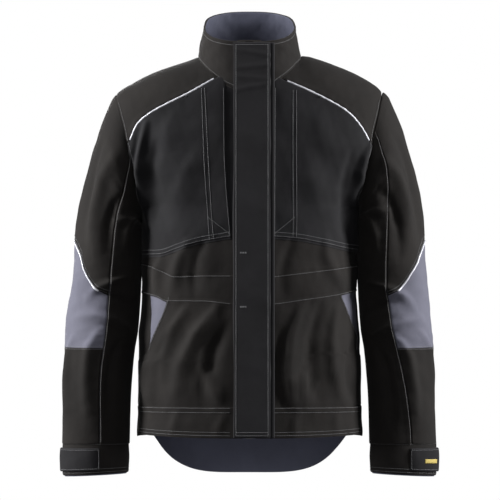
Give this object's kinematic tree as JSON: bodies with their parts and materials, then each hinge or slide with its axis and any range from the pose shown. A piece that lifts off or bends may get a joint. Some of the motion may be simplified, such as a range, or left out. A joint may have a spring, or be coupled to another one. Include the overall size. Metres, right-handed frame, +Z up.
{
  "type": "work jacket",
  "caption": "Hip-length work jacket of heavy black twill with a stand-up collar, storm flap over a full zip, chest and hand pockets, grey elbow panels and tabbed cuffs.",
  "frame": {"origin": "middle of the hang loop, inside the back of the neck", "axes": "+Z up, the front faces -Y, +X is the wearer's left"},
  "size_m": [0.71, 0.2849, 0.8555],
  "materials": {
    "black_twill": "heavy twill weave",
    "grey_twill": "heavy twill weave",
    "lining": "smooth lining cloth",
    "pocket_cloth": "plain weave",
    "reflective_piping": "retroreflective bead film",
    "black_tape": "woven and hook-and-loop tape",
    "yellow_tag": "blank woven tag",
    "zip_plastic": "moulded teeth",
    "zip_metal": "plated zip metal"
  },
  "bodies": {
    "torso": {"back_lining": "lining", "back_panel": "black_twill", "back_tail": "black_twill", "collar_lining": "lining", "collar_outer": "black_twill", "flap_loop_pads": "black_tape", "flap_seam_strip": "black_twill", "hang_loop": "black_tape", "left_center_strip": "black_twill", "left_chest_panel": "black_twill", "left_chest_pocket_bag": "pocket_cloth", "left_front_yoke": "black_twill", "left_hand_pocket_bag": "pocket_cloth", "left_hand_pocket_facing": "grey_twill", "left_hem_band": "black_twill", "left_lower_front": "black_twill", "left_waist_panel": "black_twill", "left_yoke_piping": "reflective_piping", "left_zip_tape": "black_tape", "right_center_strip": "black_twill", "right_chest_panel": "black_twill", "right_chest_pocket_bag": "pocket_cloth", "right_front_yoke": "black_twill", "right_hand_pocket_bag": "pocket_cloth", "right_hand_pocket_facing": "grey_twill", "right_hem_band": "black_twill", "right_lower_front": "black_twill", "right_waist_panel": "black_twill", "right_yoke_piping": "reflective_piping", "right_zip_tape": "black_tape", "zip_end_stops": "zip_plastic", "zip_guard": "black_twill", "zip_teeth": "zip_plastic"},
    "left_upper_sleeve": {"left_upper_sleeve_front": "black_twill", "left_upper_sleeve_back": "black_twill", "left_elbow_panel_top": "grey_twill", "left_elbow_piping": "reflective_piping"},
    "left_forearm": {"left_forearm_front": "black_twill", "left_forearm_back": "black_twill", "left_elbow_panel_bottom": "grey_twill", "left_cuff": "black_twill", "left_cuff_loop_pad": "black_tape"},
    "left_cuff_tab": {"left_cuff_tab": "black_twill", "left_tab_hook_pad": "black_tape", "blank_tag": "yellow_tag"},
    "right_upper_sleeve": {"right_upper_sleeve_front": "black_twill", "right_upper_sleeve_back": "black_twill", "right_elbow_panel_top": "grey_twill", "right_elbow_piping": "reflective_piping"},
    "right_forearm": {"right_forearm_front": "black_twill", "right_forearm_back": "black_twill", "right_elbow_panel_bottom": "grey_twill", "right_cuff": "black_twill", "right_cuff_loop_pad": "black_tape"},
    "right_cuff_tab": {"right_cuff_tab": "black_twill", "right_tab_hook_pad": "black_tape"},
    "storm_flap": {"storm_flap": "black_twill", "flap_hook_pads": "black_tape"},
    "zip_slider": {"zip_slider": "zip_metal"},
    "zip_pull": {"zip_pull": "zip_metal"}
  },
  "joints": [
    {"name": "flap_swing", "type": "hinge", "parent": "torso", "child": "storm_flap", "pos_m": [0.0392, -0.16099, 0.01538], "axis": [0, 0.0545, 0.9985], "range_deg": [0, 160]},
    {"name": "zip_travel", "type": "slide", "parent": "torso", "child": "zip_slider", "axis": [0, -0.0545, -0.9985], "range_m": [0, 0.705]},
    {"name": "pull_swing", "type": "hinge", "parent": "zip_slider", "child": "zip_pull", "pos_m": [0, -0.15504, 0.00705], "axis": [-1, 0, 0], "range_deg": [0, 8]},
    {"name": "left_shoulder", "type": "hinge", "parent": "torso", "child": "left_upper_sleeve", "pos_m": [0.2475, -0.056, -0.088], "axis": [0, -1, 0], "range_deg": [0, 60]},
    {"name": "left_elbow", "type": "hinge", "parent": "left_upper_sleeve", "child": "left_forearm", "pos_m": [0.267, -0.123, -0.45], "axis": [-1, 0, 0], "range_deg": [0, 100]},
    {"name": "left_tab_swing", "type": "hinge", "parent": "left_forearm", "child": "left_cuff_tab", "pos_m": [0.302, -0.1262, -0.758], "axis": [0, 0, -1], "range_deg": [0, 100]},
    {"name": "right_shoulder", "type": "hinge", "parent": "torso", "child": "right_upper_sleeve", "pos_m": [-0.2475, -0.056, -0.088], "axis": [0, 1, 0], "range_deg": [0, 60]},
    {"name": "right_elbow", "type": "hinge", "parent": "right_upper_sleeve", "child": "right_forearm", "pos_m": [-0.267, -0.123, -0.45], "axis": [-1, 0, 0], "range_deg": [0, 100]},
    {"name": "right_tab_swing", "type": "hinge", "parent": "right_forearm", "child": "right_cuff_tab", "pos_m": [-0.302, -0.1262, -0.758], "axis": [0, 0, 1], "range_deg": [0, 100]}
  ]
}
